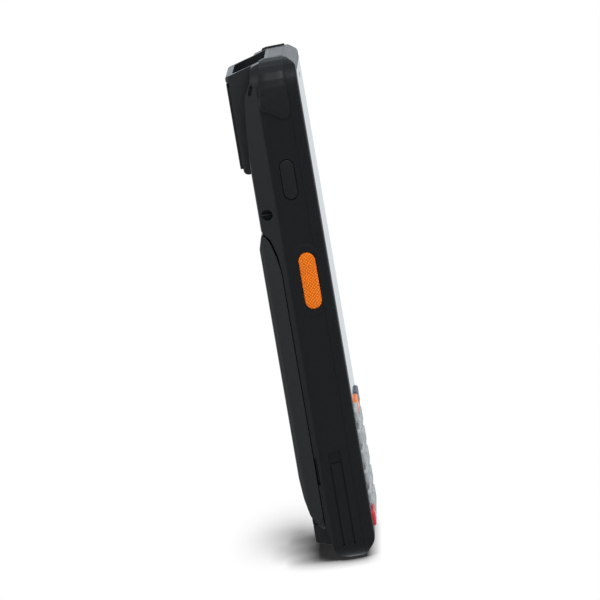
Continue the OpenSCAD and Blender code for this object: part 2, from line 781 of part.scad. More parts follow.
module rear_housing() color(case_black) {
    mouth_x = band_x(strap_y);
    lanyard_x = band_x(lanyard_y);
    difference() {
        union() {
            difference() {
                intersection() {
                    union() {
                        case_form();
                        trigger_pads();
                    }
                    behind(seam_y + seat_gap);
                }
                difference() {
                    case_form(wall);
                    block([-bay_w / 2 - bay_wall, bay_outer_y, bay_bottom - bay_wall],
                        [bay_w / 2 + bay_wall, rear_y + over, bay_top + bay_wall]);
                }
            }
            strap_cups();
            screw_bosses();
        }
        // battery bay
        block([-bay_w / 2, bay_floor_y, bay_bottom], [bay_w / 2, rear_y + over, bay_top]);
        for (i = [-1:1])
            translate([i * bay_contact_pitch, bay_outer_y - over, bay_contact_z]) rotate([-90, 0, 0])
                cylinder(r = bay_contact_r + seat_gap, h = bay_wall + 2 * over);
        head_pocket();
        difference() {
            bumper_zone(seat_gap);
            case_form(bumper_seat);
        }
        difference() {
            cradle_cuts();
            case_form(groove_depth);
        }
        side_holes();
        // finger slits, strap recesses and lanyard slots
        both_sides() {
            block([band_x(parting_y) - 2, parting_y - slit_w, slit_bottom],
                [side_x + over, parting_y + over, slit_bottom + slit_l]);
            translate([mouth_x - strap_recess_l, strap_y, strap_z]) rotate([0, 90, 0])
                cylinder(r = strap_r, h = strap_recess_l + 5);
            translate([mouth_x - strap_recess_l / 2, strap_y - strap_r - 0.6, strap_z])
                rotate([-90, 0, 0]) cylinder(r = strap_bar_r + seat_gap, h = 2 * strap_r + 1.2);
            along_x(lanyard_x - 1.4, side_x + over)
                translate([lanyard_y, lanyard_z]) rotate(lanyard_lean)
                    slot_shape(lanyard_l, lanyard_w);
        }
        screw_holes();
        // loudspeaker slots
        for (i = [-2:2])
            along_y(rear_y - wall - over, rear_y + over)
                translate([i * speaker_slot_pitch, screw_upper_z])
                    slot_shape(speaker_slot_l, speaker_slot_w);
        // openings in the base for the USB-C socket and the dock contacts
        translate([0, board_back_y + seat_gap + usb_t / 2, -over])
            linear_extrude(usb_recess + usb_l + 2 * over)
                rotate(90) slot_shape(usb_w + 2 * seat_gap, usb_t + 2 * seat_gap);
        at_dock_contacts() cylinder(r = dock_contact_r + seat_gap, h = 6 * wall, center = true);
    }
}

module front_housing() color(case_black)
    difference() {
        intersection() {
            union() {
                case_form();
                trigger_pads();
            }
            before(seam_y);
        }
        intersection() {
            case_form(wall);
            behind(face_back_y);
        }
        // pocket for the glass and opening for the display
        along_y(front_y - over, glass_back_y + seat_gap)
            polygon(rounded(inset(glass_corners(), -seat_gap)));
        along_y(front_y - over, seam_y)
            polygon(rounded(inset(glass_corners(), glass_ledge)));
        all_keys() key_outline(key_gap, front_y - over, seam_y);
        seal_groove();
        side_holes();
    }

module housing_seal() color(rubber_black)
    difference() {
        along_y(seam_y - seal_t - seat_gap, seam_y - seat_gap) difference() {
            polygon(rounded(inset(front_corners, (wall - seal_w) / 2)));
            polygon(rounded(inset(front_corners, (wall + seal_w) / 2)));
        }
        side_holes();
    }

module corner_bumpers() color(rubber_black)
    difference() {
        intersection() {
            case_form(-bumper_proud);
            bumper_zone();
        }
        case_form(bumper_seat - seat_gap);
        head_pocket();
    }

module midframe() color(metal_grey)
    difference() {
        along_y(midframe_front_y, midframe_back_y)
            polygon(rounded([
                [-midframe_x, wall + 3, 3],
                [midframe_x, wall + 3, 3],
                [midframe_x, body_h - wall - 3, 5],
                [-midframe_x, body_h - wall - 3, 5]]));
        at_screws(midframe_front_y - over) cylinder(r = screw_r + 0.1, h = midframe_t + 2 * over);
        // windows for the flat cables of the display and the keypad
        for (z = [keypad_top + keypad_cable_space, glass_top - display_cable_drop])
            block([-cable_w / 2, midframe_front_y - over, z],
                [cable_w / 2, midframe_back_y + over, z + cable_h]);
    }

// ---------------------------------------------------------------- screen

function glass_corners() = box_corners(0, (glass_bottom + glass_top) / 2, glass_w, glass_top - glass_bottom,
    glass_corner_r);

module earpiece_outline(gap) {
    translate([0, earpiece_z]) rotate(90) slot_shape(earpiece_l + 2 * gap, earpiece_h + 2 * gap);
}

module touch_glass() color(glass_dark)
    along_y(glass_front_y, glass_back_y) difference() {
        polygon(rounded(glass_corners()));
        earpiece_outline(seat_gap);
    }

module display_panel() color(metal_grey)
    along_y(display_front_y, display_back_y)
        polygon(rounded(box_corners(0, (display_bottom + display_top) / 2, opening_w - 2 * key_gap,
            display_top - display_bottom, glass_corner_r - glass_ledge)));

module earpiece_mesh() color(metal_grey)
    along_y(glass_front_y + mesh_set_back, glass_front_y + mesh_set_back + mesh_t) earpiece_outline(0);

module earpiece_speaker() color(case_black)
    block([-earpiece_l / 2, glass_back_y + seat_gap, earpiece_speaker_top - earpiece_speaker_h],
        [earpiece_l / 2, display_back_y, earpiece_speaker_top]);

// ---------------------------------------------------------------- keypad

function key_place(column, row) = [column * key_pitch_x, key_row_0 + row * key_pitch_z];

// A slab with the outline of a key's cap, grown by a gap
module key_outline(gap, from, to) {
    along_y(from, to)
        polygon(rounded(box_corners(0, 0, key_w + 2 * gap, key_h + 2 * gap, key_corner_r + gap)));
}

// A child at every key's place
module all_keys() {
    for (row = [0:top_row])
        for (column = [-1:1])
            translate([key_place(column, row)[0], 0, key_place(column, row)[1]]) children();
}

module key(column, row) {
    place = key_place(column, row);
    translate([place[0], 0, place[1]]) {
        key_outline(0, key_front_y + key_step, flange_front_y);
        key_outline(-key_step, key_front_y, key_front_y + key_step);
        key_outline(key_gap + key_flange_lip, flange_front_y, flange_back_y);
        translate([0, flange_back_y, 0]) rotate([-90, 0, 0]) cylinder(r = key_stem_r, h = key_stem_l);
    }
}

module key_menu() color(key_grey) key(-1, top_row);
module key_scan() color(signal_orange) key(0, top_row);
module key_back() color(key_navy) key(1, top_row);
module key_1() color(key_grey) key(-1, 4);
module key_2() color(key_grey) key(0, 4);
module key_3() color(key_grey) key(1, 4);
module key_4() color(key_grey) key(-1, 3);
module key_5() color(key_grey) key(0, 3);
module key_6() color(key_grey) key(1, 3);
module key_7() color(key_grey) key(-1, 2);
module key_8() color(key_grey) key(0, 2);
module key_9() color(key_grey) key(1, 2);
module key_star() color(key_grey) key(-1, 1);
module key_0() color(key_grey) key(0, 1);
module key_hash() color(key_grey) key(1, 1);
module key_power() color(signal_red) key(-1, 0);
module key_function() color(key_grey) key(0, 0);
module key_enter() color(key_grey) key(1, 0);

// Outline of the keypad's mat and board
module keypad_outline() {
    low = keypad_bottom - 1.3;
    half_w = inner_x - 0.8;
    translate([-half_w, low]) square([2 * half_w, keypad_top + 0.8 - low]);
}

module keypad_mat() color(rubber_black)
    difference() {
        along_y(flange_front_y, flange_front_y + mat_t) keypad_outline();
        all_keys()
            key_outline(key_gap + key_flange_lip + mat_gap, flange_front_y - over, board_front_y);
    }

module keypad_board() color(board_green)
    along_y(keypad_board_front_y, keypad_board_back_y) keypad_outline();

module key_domes() color(metal_grey)
    all_keys() translate([0, dome_front_y, 0]) rotate([-90, 0, 0])
        cylinder(r1 = dome_r - 0.6, r2 = dome_r, h = dome_h);

// ---------------------------------------------------------------- boards

module main_board() color(board_green)
    difference() {
        along_y(board_front_y, board_back_y) {
            translate([-board_w / 2, bay_bottom]) square([board_w, head_bottom - wall - bay_bottom]);
            translate([-tongue_w / 2, wall + 1.2]) square([tongue_w, bay_bottom]);
        }
        at_screws(board_front_y - over) cylinder(r = boss_r + 0.3, h = board_t + 2 * over);
    }

module shield_cans() color(metal_grey) {
    can_h = (bay_top - bay_bottom - 2 * can_margin - can_space) / 2;
    can_x = board_w / 2 - can_margin;
    for (z = [bay_bottom + can_margin, bay_top - can_margin - can_h])
        block([-can_x, board_back_y, z], [can_x, board_back_y + can_t, z + can_h]);
}

module side_switches() color(board_green)
    both_sides() {
        block([midframe_x + seat_gap, midframe_front_y, trigger_z - 8],
            [midframe_x + seat_gap + side_board_t, midframe_back_y + 3.4, button_z + 5]);
        for (place = [[trigger_y, trigger_z], [button_y, button_z]])
            block([midframe_x + seat_gap + side_board_t, place[0] - 1.2, place[1] - 1.6],
                [switch_x, place[0] + 1.2, place[1] + 1.6]);
    }

module usb_socket() color(metal_grey)
    translate([0, board_back_y + seat_gap + usb_t / 2, usb_recess]) difference() {
        linear_extrude(usb_l) rotate(90) slot_shape(usb_w, usb_t);
        difference() {
            translate([0, 0, -over]) linear_extrude(usb_l)
                rotate(90) slot_shape(usb_w - 2 * usb_shell_t, usb_t - 2 * usb_shell_t);
            // the tongue that holds the contacts
            block([-usb_tongue_w / 2, -usb_tongue_t / 2, 0.6], [usb_tongue_w / 2, usb_tongue_t / 2, usb_l]);
        }
    }

module at_dock_contacts() {
    for (side = [-1, 1])
        for (i = [0, 1])
            translate([side * (dock_contact_start + i * dock_contact_pitch), board_front_y + board_t / 2, 0])
                children();
}

module dock_contacts() color(gold)
    at_dock_contacts() translate([0, 0, 0.15]) cylinder(r = dock_contact_r, h = wall + 1);

module bay_contacts() color(gold)
    for (i = [-1:1])
        translate([i * bay_contact_pitch, board_back_y + seat_gap, bay_contact_z]) rotate([-90, 0, 0])
            cylinder(r = bay_contact_r, h = bay_floor_y + battery_gap - board_back_y - 3 * seat_gap);

module loudspeaker() color(case_black)
    block([-speaker_w / 2, board_back_y + seat_gap, screw_upper_z - speaker_h / 2],
        [speaker_w / 2, rear_y - wall - seat_gap, screw_upper_z + speaker_h / 2]);

module vibration_motor() color(metal_grey)
    translate([speaker_w / 2 + motor_r, board_back_y + seat_gap + motor_r, screw_upper_z - motor_r])
        rotate([0, 90, 0]) cylinder(r = motor_r, h = motor_l);

// ---------------------------------------------------------------- scan head

head_corners = [
    [head_front_y, head_bottom, 0],
    [head_rear_y - cover_t, head_bottom, 1.6],
    [head_rear_y - cover_t, cover_top, 0],
    [head_rear_y, cover_top + 0.4, 0.2],
    [head_rear_y, rim_rear_z - 0.3, 0.6],
    [head_rear_y - 0.8, rim_rear_z, 0.4],
    each top_bends,
    [head_front_y, body_h - 0.24, 0]];

// Plan of the recess inside the scan head
recess_corners = [
    [-head_inner_x, head_inner_front, 1],
    [head_inner_x, head_inner_front, 1],
    [head_inner_x, head_inner_rear, recess_r],
    [-head_inner_x, head_inner_rear, recess_r]];

// Space inside the scan head between two heights, made smaller by a gap
module recess_space(from, to, gap = 0) {
    translate([0, 0, from]) linear_extrude(to - from) polygon(rounded(inset(recess_corners, gap)));
}

// Line of the scan window's top face
function window_z(y) = window_front_z - (y - head_inner_front) * tan(window_tilt);

// A slab that follows the scan window's tilt, between two depths and two distances below its face
module window_slab(from, to, above, below, half_w) {
    along_x(-half_w, half_w) polygon([
        [from, window_z(from) - below],
        [to, window_z(to) - below],
        [to, window_z(to) - above],
        [from, window_z(from) - above]]);
}

module scan_head_housing() color(case_black) {
    ledge_top = window_t + seat_gap;
    ledge_bottom = ledge_top + 1.4;
    difference() {
        intersection() {
            along_x(-head_side_x, head_side_x) polygon(rounded(head_corners));
            linear_extrude(body_h) polygon(rounded([
                [-head_side_x, head_front_y, 0],
                [head_side_x, head_front_y, 0],
                [head_side_x, head_rear_y, head_edge_r],
                [-head_side_x, head_rear_y, head_edge_r]]));
        }
        recess_space(head_bottom + head_wall, body_h + over);
        translate([0, head_inner_rear - over, camera_z]) rotate([-90, 0, 0]) cylinder(r = camera_r, h = 5);
        at_cover_screws(head_inner_rear - over) cylinder(r = cover_screw_r + seat_gap, h = 5);
    }
    for (from = [head_inner_front, head_inner_rear - window_ledge])
        window_slab(from, from + window_ledge, ledge_top, ledge_bottom, head_inner_x);
}

module at_cover_screws(y) {
    reach_x = head_side_x - cover_margin - 3;
    for (x = [-reach_x, reach_x])
        for (z = [head_bottom + cover_margin + 3.4, cover_top - 3])
            translate([x, y, z]) rotate([-90, 0, 0]) children();
}

module scan_head_cover() color(case_black) {
    low = head_bottom + cover_margin;
    high = cover_top - key_gap;
    difference() {
        along_y(head_rear_y - cover_t + seat_gap, head_rear_y)
            polygon(rounded(box_corners(0, (low + high) / 2, head_w - 2 * cover_margin, high - low, 2)));
        translate([0, head_rear_y - 2, camera_z]) rotate([-90, 0, 0])
            cylinder(r = camera_r + seat_gap, h = 4);
        at_cover_screws(head_rear_y - 2) cylinder(r = cover_screw_head_r + seat_gap, h = 4);
    }
}

module cover_screws() color(metal_grey)
    at_cover_screws(head_rear_y - cover_t + seat_gap) {
        cylinder(r = cover_screw_head_r, h = cover_t - 0.2);
        translate([0, 0, -1.2]) cylinder(r = cover_screw_r, h = 1.4);
    }

module scan_window() color([0.25, 0.05, 0.06])
    intersection() {
        window_slab(head_inner_front, head_inner_rear, 0, window_t, head_inner_x);
        recess_space(head_bottom + head_wall, body_h, seat_gap);
    }

module engine_bracket() color(metal_grey)
    recess_space(head_bottom + head_wall + bracket_z, head_bottom + head_wall + bracket_z + bracket_t,
        seat_gap);

module scan_engine() color(case_black) {
    low = head_bottom + head_wall + bracket_z + bracket_t + seat_gap;
    block([-engine_w / 2, head_inner_front + 0.8, low],
        [engine_w / 2, head_inner_rear - 0.8, low + engine_h]);
    translate([-4, (head_inner_front + head_inner_rear) / 2, low + engine_h]) cylinder(r = 2.6, h = 1.2);
    translate([5, (head_inner_front + head_inner_rear) / 2, low + engine_h]) cylinder(r = 1.6, h = 0.8);
}

module rear_camera() color(case_black) {
    half = 3.7;
    block([-half, head_inner_rear - 5, camera_z - half],
        [half, head_inner_rear - seat_gap, camera_z + half]);
    translate([0, head_inner_rear - 1, camera_z]) rotate([-90, 0, 0])
        cylinder(r = camera_r - 0.3, h = head_wall + 1 - seat_gap);
}

module camera_window() color(glass_dark)
    translate([0, head_rear_y - cover_t + seat_gap, camera_z]) rotate([-90, 0, 0])
        cylinder(r = camera_r, h = cover_t - 0.15);

// ---------------------------------------------------------------- strap, lock and screws

module strap_bars() color(metal_grey)
    both_sides()
        translate([band_x(strap_y) - strap_recess_l / 2, strap_y - strap_r - 0.5, strap_z])
            rotate([-90, 0, 0]) cylinder(r = strap_bar_r, h = 2 * strap_r + 1);

// Depth of the heel's slope at a height
function heel_y(z) = parting_y - heel_in * (tail_h - z) / (tail_h - heel_h);

lock_rear_y = parting_y + lock_block_depth;
lock_top = battery_bottom - battery_gap;
lock_corners = [
    [heel_y(lock_block_bottom) + 2 * seat_gap, lock_block_bottom, 0],
    [lock_rear_y, lock_block_bottom + lock_block_rise, 0.8],
    [lock_rear_y, lock_top, 0.2],
    [heel_y(lock_top) + 2 * seat_gap, lock_top, 0]];

slider_front_y = lock_rear_y - slider_t;
slider_step_y = lock_rear_y - slider_t / 2;
slider_bottom = lock_top - slider_drop - slider_l;

module slider_shape(gap, low, high) {
    block([-slider_w / 2 - slider_wing - gap, slider_front_y - gap, low],
        [slider_w / 2 + slider_wing + gap, slider_step_y + gap, high]);
    block([-slider_w / 2 - gap, slider_front_y - gap, low], [slider_w / 2 + gap, lock_rear_y + gap, high]);
}

module lock_block() color(case_black)
    difference() {
        along_x(-lock_block_w / 2, lock_block_w / 2) polygon(rounded(lock_corners));
        slider_shape(key_gap, slider_bottom - key_gap, lock_top + over);
        block([-slider_w / 2 - key_gap, slider_step_y, slider_bottom - key_gap],
            [slider_w / 2 + key_gap, lock_rear_y + over, lock_top + over]);
    }

module lock_slider() color(signal_orange)
    difference() {
        slider_shape(0, slider_bottom, slider_bottom + slider_l);
        // finger grooves
        for (i = [0:2])
            block([-slider_w / 2 + 1.5, lock_rear_y - 0.25, slider_bottom + 1.1 + i * 1.2],
                [slider_w / 2 - 1.5, lock_rear_y + over, slider_bottom + 1.6 + i * 1.2]);
    }

module housing_screws() color(metal_grey)
    for (x = [-screw_x, screw_x])
        for (z = [screw_upper_z, screw_lower_z])
            translate([x, 0, z]) rotate([-90, 0, 0])
                difference() {
                    union() {
                        translate([0, 0, screw_face_y(z) - screw_head_h - 0.25])
                            cylinder(r = screw_head_r, h = screw_head_h);
                        translate([0, 0, midframe_back_y])
                            cylinder(r = screw_r, h = screw_face_y(z) - screw_head_h - midframe_back_y);
                    }
                    translate([0, 0, screw_face_y(z) - 0.85]) cylinder(r = 0.9, h = 2, $fn = 6);
                }

module threaded_inserts() color(gold)
    at_screws(midframe_back_y + seat_gap)
        difference() {
            cylinder(r = insert_r, h = insert_l);
            translate([0, 0, -over]) cylinder(r = screw_r + seat_gap, h = insert_l + 2 * over);
        }

// ---------------------------------------------------------------- battery

// Side view of the battery's outer part
battery_corners = [
    [parting_y + battery_gap, battery_bottom, 0.4],
    [parting_y + 1, battery_bottom, 0.4],
    [battery_rear_y - 1.8, battery_bottom + 5.1, 3],
    [battery_rear_y - 0.6, battery_bottom + 10.8, 6],
    [battery_rear_y, battery_bottom + battery_slope_h, 10],
    [battery_rear_y, battery_top - 5.5, 5],
    [battery_rear_y - 1, battery_top - 2, 1.5],
    [rear_y - 0.1, battery_top, 0.5],
    [parting_y + 2.3 + battery_gap, battery_top - 3, 3],
    [parting_y + 0.9 + battery_gap, battery_top - 7.7, 6],
    [parting_y + battery_gap, battery_top - battery_nose_h, 6]];

battery_x = band_x(parting_y) - 0.1;
battery_front_corners = [
    [-battery_x, battery_bottom - over, 8],
    [battery_x, battery_bottom - over, 8],
    [battery_x, battery_top, 7],
    [-battery_x, battery_top, 7]];

battery_section = [
    [-battery_x, parting_y, 0],
    [battery_x, parting_y, 0],
    [side_x - chamfer_run - 0.4, rear_y, 4],
    [side_x - chamfer_run - 2.6, battery_rear_y, 2],
    [-(side_x - chamfer_run - 2.6), battery_rear_y, 2],
    [-(side_x - chamfer_run - 0.4), rear_y, 4]];

module battery_form(distance) {
    intersection() {
        along_x(-side_x, side_x) polygon(rounded(inset(battery_corners, distance)));
        along_y(parting_y - over, battery_rear_y + over)
            polygon(rounded(inset(battery_front_corners, distance)));
        linear_extrude(battery_top + over) polygon(rounded(inset(battery_section, distance)));
    }
}

// Room for the cell, between its low and high corners
bay_fit_x = bay_w / 2 - battery_gap;
cell_room_x = bay_fit_x - battery_wall;
cell_room_low = [-cell_room_x, bay_floor_y + battery_gap + battery_wall, bay_contact_z + contact_cell_space];
cell_room_high = [cell_room_x, battery_rear_y - battery_wall, bay_top - battery_gap - battery_wall];

// A block at each contact between the bay and the battery, with half a width
module at_bay_contacts(half, from, to) {
    for (i = [-1:1])
        block([i * bay_contact_pitch - half, from, bay_contact_z - half],
            [i * bay_contact_pitch + half, to, bay_contact_z + half]);
}

module battery_case() color(case_black)
    difference() {
        union() {
            battery_form(0);
            block([-bay_fit_x, bay_floor_y + battery_gap, bay_bottom + battery_gap],
                [bay_fit_x, parting_y + battery_gap + 0.5, bay_top - battery_gap]);
            // lip that comes down onto the lock's block
            block([-lock_block_w / 2, parting_y + 1, battery_bottom],
                [lock_block_w / 2, lock_rear_y, battery_bottom + battery_lip_h]);
        }
        block(cell_room_low, cell_room_high);
        // seats of the contact pads
        at_bay_contacts(terminal_w / 2 + 2 * seat_gap, bay_floor_y,
            bay_floor_y + battery_gap + terminal_t + seat_gap);
        // keeper that the lock's slider rises into
        block([-slider_w / 2 - slider_wing - battery_gap, slider_front_y - battery_gap, 0],
            [slider_w / 2 + slider_wing + battery_gap, lock_rear_y + battery_gap,
                slider_bottom + slider_l + slider_travel + battery_gap]);
    }

module battery_cell() color(metal_grey)
    block(cell_room_low + seat_gap * [1, 1, 1], cell_room_high - seat_gap * [1, 1, 1]);

module battery_terminals() color(gold)
    at_bay_contacts(terminal_w / 2, bay_floor_y + battery_gap, bay_floor_y + battery_gap + terminal_t);

// ---------------------------------------------------------------- side controls

// A trigger or button for the +X side: its cap and the flange that keeps it in
module side_control(y, z, l, w, face_x, crown) {
    along_x(side_flange_x, side_flange_x + side_flange_t)
        translate([y, z])
            slot_shape(l + 2 * (key_gap + side_flange_lip), w + 2 * (key_gap + side_flange_lip));
    along_x(side_flange_x, face_x - crown) translate([y, z]) slot_shape(l, w);
    along_x(side_flange_x, face_x) translate([y, z]) slot_shape(l - 2 * crown, w - 2 * crown);
}

module trigger() {
    face_x = side_x + pad_proud + trigger_proud;
    side_control(trigger_y, trigger_z, trigger_l, trigger_w, face_x, trigger_crown);
}

module button() {
    face_x = side_x + button_proud;
    side_control(button_y, button_z, button_l, button_w, face_x, button_crown);
}

module right_trigger() color(signal_orange) trigger();
module left_trigger() color(signal_orange) mirror([1, 0, 0]) trigger();
module right_button() color(case_black) button();
module left_button() color(case_black) mirror([1, 0, 0]) button();

// ---------------------------------------------------------------- nodes

rear_housing();
front_housing();
corner_bumpers();
housing_seal();
midframe();
touch_glass();
display_panel();
earpiece_mesh();
earpiece_speaker();
keypad_mat();
keypad_board();
key_domes();
main_board();
shield_cans();
side_switches();
usb_socket();
dock_contacts();
bay_contacts();
loudspeaker();
vibration_motor();
scan_head_housing();
scan_head_cover();
scan_window();
scan_engine();
engine_bracket();
rear_camera();
camera_window();
strap_bars();
lock_block();
housing_screws();
cover_screws();
threaded_inserts();
lock_slider();
battery_case();
battery_cell();
battery_terminals();
left_trigger();
right_trigger();
left_button();
right_button();
key_menu();
key_scan();
key_back();
key_1();
key_2();
key_3();
key_4();
key_5();
key_6();
key_7();
key_8();
key_9();
key_star();
key_0();
key_hash();
key_power();
key_function();
key_enter();
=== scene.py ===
import json
import math

import bmesh
import bpy
from mathutils import Matrix, Vector
from mathutils.kdtree import KDTree

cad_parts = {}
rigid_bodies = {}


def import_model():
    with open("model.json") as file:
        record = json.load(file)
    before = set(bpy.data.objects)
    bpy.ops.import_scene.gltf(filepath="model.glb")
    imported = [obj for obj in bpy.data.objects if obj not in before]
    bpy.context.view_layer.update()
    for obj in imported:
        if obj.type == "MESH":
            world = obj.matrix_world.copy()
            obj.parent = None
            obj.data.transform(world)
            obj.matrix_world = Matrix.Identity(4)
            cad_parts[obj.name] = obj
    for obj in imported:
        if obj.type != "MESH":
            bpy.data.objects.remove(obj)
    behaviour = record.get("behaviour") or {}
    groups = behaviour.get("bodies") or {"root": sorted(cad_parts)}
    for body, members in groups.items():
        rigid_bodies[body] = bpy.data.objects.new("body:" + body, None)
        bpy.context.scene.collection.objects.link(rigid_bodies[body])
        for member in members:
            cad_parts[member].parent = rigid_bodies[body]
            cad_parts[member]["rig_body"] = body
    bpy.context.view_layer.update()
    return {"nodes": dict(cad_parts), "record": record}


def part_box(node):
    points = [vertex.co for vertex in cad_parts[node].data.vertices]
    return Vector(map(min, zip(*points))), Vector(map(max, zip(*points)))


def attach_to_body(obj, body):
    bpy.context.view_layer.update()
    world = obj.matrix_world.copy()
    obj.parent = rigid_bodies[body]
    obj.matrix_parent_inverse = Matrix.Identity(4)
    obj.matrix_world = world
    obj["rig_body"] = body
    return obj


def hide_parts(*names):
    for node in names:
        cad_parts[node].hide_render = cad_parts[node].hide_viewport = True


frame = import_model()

MM = 0.001
WHITE = (1, 1, 1)
NODES = frame["nodes"]
SLOT_OF = {part["node"]: part["material_slot"] for part in frame["record"]["subparts"]}


def new_object(name, data):
    """An object in the scene."""
    made = bpy.data.objects.new(name, data)
    bpy.context.scene.collection.objects.link(made)
    return made


# ---------------------------------------------------------------- camera

# Fitted to the outline in the photograph
CAMERA_DISTANCE = 2.0
CAMERA_FOCUS_PX = 6017.6
CAMERA_ELEVATION = math.radians(6.624)
CAMERA_SWING = math.radians(1.832)
CAMERA_ROLL = math.radians(9.72)
CAMERA_TARGET = Vector((0, 1.0, 83.3)) * MM
CAMERA_CLIP_END = 50
SENSOR_MM = 36
IMAGE_SIZE = 600


def add_camera():
    """The photograph's view: almost square onto the left side, from a little above, rolled."""
    forward = Vector((math.cos(CAMERA_ELEVATION) * math.cos(CAMERA_SWING),
                      math.cos(CAMERA_ELEVATION) * math.sin(CAMERA_SWING),
                      -math.sin(CAMERA_ELEVATION)))
    level_right = Vector((math.sin(CAMERA_SWING), -math.cos(CAMERA_SWING), 0))
    level_up = level_right.cross(forward)
    right = math.cos(CAMERA_ROLL) * level_right - math.sin(CAMERA_ROLL) * level_up
    up = math.sin(CAMERA_ROLL) * level_right + math.cos(CAMERA_ROLL) * level_up
    data = bpy.data.cameras.new("view_camera")
    data.sensor_width = SENSOR_MM
    data.lens = CAMERA_FOCUS_PX * SENSOR_MM / IMAGE_SIZE
    data.clip_end = CAMERA_CLIP_END
    camera = new_object("view_camera", data)
    axes = Matrix((right, up, -forward)).transposed().to_4x4()
    camera.matrix_world = Matrix.Translation(CAMERA_TARGET - CAMERA_DISTANCE * forward) @ axes
    bpy.context.scene.camera = camera


# ---------------------------------------------------------------- shader building blocks


def link(tree, source, target):
    tree.links.new(source, target)


def new_material(name):
    made = bpy.data.materials.new(name)
    made.use_nodes = True
    return made, made.node_tree, made.node_tree.nodes["Principled BSDF"]


def object_place(tree):
    """Where a point is in the part's own frame, in metres."""
    return tree.nodes.new("ShaderNodeTexCoord").outputs["Object"]


def object_axis(tree, axis):
    """One coordinate of a point in the part's own frame."""
    parts = tree.nodes.new("ShaderNodeSeparateXYZ")
    link(tree, object_place(tree), parts.inputs["Vector"])
    return parts.outputs[axis]


def combined(tree, operation, *values):
    """A number worked out from others, each of them a socket or a plain value."""
    node = tree.nodes.new("ShaderNodeMath")
    node.operation = operation
    for socket, value in zip(node.inputs, values):
        if isinstance(value, bpy.types.NodeSocket):
            link(tree, value, socket)
        else:
            socket.default_value = value
    return node.outputs[0]


def mapped(tree, value, low, high, from_low=0.3, from_high=0.7):
    """A value brought from one range into another; most of a noise lies in the default range."""
    node = tree.nodes.new("ShaderNodeMapRange")
    node.inputs["From Min"].default_value = from_low
    node.inputs["From Max"].default_value = from_high
    node.inputs["To Min"].default_value = low
    node.inputs["To Max"].default_value = high
    link(tree, value, node.inputs["Value"])
    return node.outputs["Result"]


def tinted(tree, value, dark, light):
    """A colour between two, by a value from 0 to 1."""
    node = tree.nodes.new("ShaderNodeMix")
    node.data_type = "RGBA"
    node.inputs["A"].default_value = (*dark, 1)
    node.inputs["B"].default_value = (*light, 1)
    link(tree, value, node.inputs["Factor"])
    return node.outputs["Result"]


def noise(tree, scale, detail, roughness=0.5, place=None):
    """Noise in the part's own frame; the scale counts blotches in a metre."""
    texture = tree.nodes.new("ShaderNodeTexNoise")
    texture.inputs["Scale"].default_value = scale
    texture.inputs["Detail"].default_value = detail
    texture.inputs["Roughness"].default_value = roughness
    link(tree, place or object_place(tree), texture.inputs["Vector"])
    return texture.outputs["Fac"]


def bumped(tree, shader, height, distance, strength=1.0):
    """Fine relief on a shader's surface, with its depth in metres."""
    node = tree.nodes.new("ShaderNodeBump")
    node.inputs["Strength"].default_value = strength
    node.inputs["Distance"].default_value = distance
    link(tree, height, node.inputs["Height"])
    link(tree, node.outputs["Normal"], shader.inputs["Normal"])


def scaled(colour, share):
    """A darker or lighter colour."""
    return [c * share for c in colour]


# ---------------------------------------------------------------- surroundings

WORLD_DIFFUSE_LEVEL = 0.04
REFLECTED_WHITE = (0.95, 1.02, 1.09)


def add_world():
    """White for the camera, a slightly blue white in reflections and only a trace of diffuse light."""
    world = bpy.data.worlds.new("studio")
    bpy.context.scene.world = world
    world.use_nodes = True
    tree = world.node_tree
    background = tree.nodes["Background"]
    rays = tree.nodes.new("ShaderNodeLightPath")
    tint = tinted(tree, rays.outputs["Is Camera Ray"], REFLECTED_WHITE, WHITE)
    link(tree, tint, background.inputs["Color"])
    seen = combined(tree, "MAXIMUM", rays.outputs["Is Camera Ray"], rays.outputs["Is Glossy Ray"])
    shown = combined(tree, "MAXIMUM", seen, rays.outputs["Is Transmission Ray"])
    link(tree, mapped(tree, shown, WORLD_DIFFUSE_LEVEL, 1, 0, 1), background.inputs["Strength"])


# Name, place, the point it is turned to, side in metres, watts, and whether reflections show it
LAMPS = (
    ("near_softbox", (-0.75, -0.62, 1.3), (0, 0, 0.02), 1.1, 24, False),
    ("far_softbox", (0.15, -0.35, 1.5), (0, 0, 0.02), 1.0, 6, False),
    ("glint_softbox", (-0.95, -0.35, 1.6), (0, 0, 0.1), 0.7, 9, True),
    ("rear_softbox", (-0.45, 1.5, 0.3), (0, 0, 0.08), 0.5, 3, True),
)


def add_lamp(name, place, aim, size, watts, glint):
    """A large soft lamp, which the camera doesn't see."""
    data = bpy.data.lights.new(name, "AREA")
    data.shape = "SQUARE"
    data.size = size
    data.energy = watts
    lamp = new_object(name, data)
    lamp.location = place
    lamp.rotation_euler = (Vector(aim) - Vector(place)).to_track_quat("-Z", "Y").to_euler()
    lamp.visible_glossy = glint
    lamp.visible_camera = False


FLOOR_REACH = 6.0
FLOOR_PALE = 0.95
FLOOR_MIRRORED = (0.78, 0.82, 0.85)

# The shadow shows inside an oval on the floor, drawn out along X, and fades over these distances along Y
SHADOW_CENTRE = (0.04, 0.0157, 0)
SHADOW_SHAPE = (3.7, 1, 1)
SHADOW_FADE = (-0.01, 0.0265)

# Painted shade: right beside the case the floor is darker still for the camera, from ambient occlusion,
# but not in front of the keypad
CONTACT_REACH = 0.018
PAINTED_CONTACT_DARK = 0.03
CONTACT_FROM_Y = (-0.0125, -0.0075)
WALL_FOOT_OCCLUSION = 0.5


